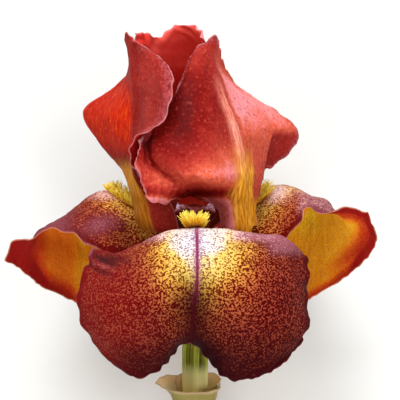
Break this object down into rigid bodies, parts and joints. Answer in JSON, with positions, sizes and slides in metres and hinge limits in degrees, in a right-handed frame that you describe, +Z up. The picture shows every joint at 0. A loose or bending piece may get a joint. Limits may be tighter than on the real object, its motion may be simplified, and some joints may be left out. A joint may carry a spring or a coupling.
{
  "type": "iris flower",
  "caption": "Bearded iris bloom cut with a short stem and lying on its back: drooping falls with beards, upright ruffled standards, style arms, stamens, ovary and papery spathe.",
  "frame": {"origin": "the middle of the bounding box's bottom face, on the surface that the flower lies on", "axes": "+Y from the cut end of the stem to the top of the bloom, the longest extent; +Z up from the surface, the shortest extent; +X to the viewer's right when the bloom is seen from above with its stem towards the viewer"},
  "size_m": [0.1208, 0.1776, 0.0985],
  "materials": {
    "fall_maroon": "matte",
    "standard_red": "satin",
    "beard_yellow": "matte",
    "style_maroon": "satin",
    "pollen_cream": "matte",
    "tube_green": "satin",
    "spathe_tan": "matte",
    "stem_green": "satin"
  },
  "bodies": {
    "root": {"stem": "stem_green", "spathe_outer": "spathe_tan", "spathe_inner": "spathe_tan", "ovary": "tube_green", "perianth_tube": "tube_green", "fall_front": "fall_maroon", "fall_left": "fall_maroon", "fall_right": "fall_maroon", "standard_left": "standard_red", "standard_right": "standard_red", "standard_back": "standard_red", "beard_front": "beard_yellow", "beard_left": "beard_yellow", "beard_right": "beard_yellow", "style_arm_front": "style_maroon", "style_arm_left": "style_maroon", "style_arm_right": "style_maroon", "stamen_front": "pollen_cream", "stamen_left": "pollen_cream", "stamen_right": "pollen_cream"}
  },
  "joints": []
}
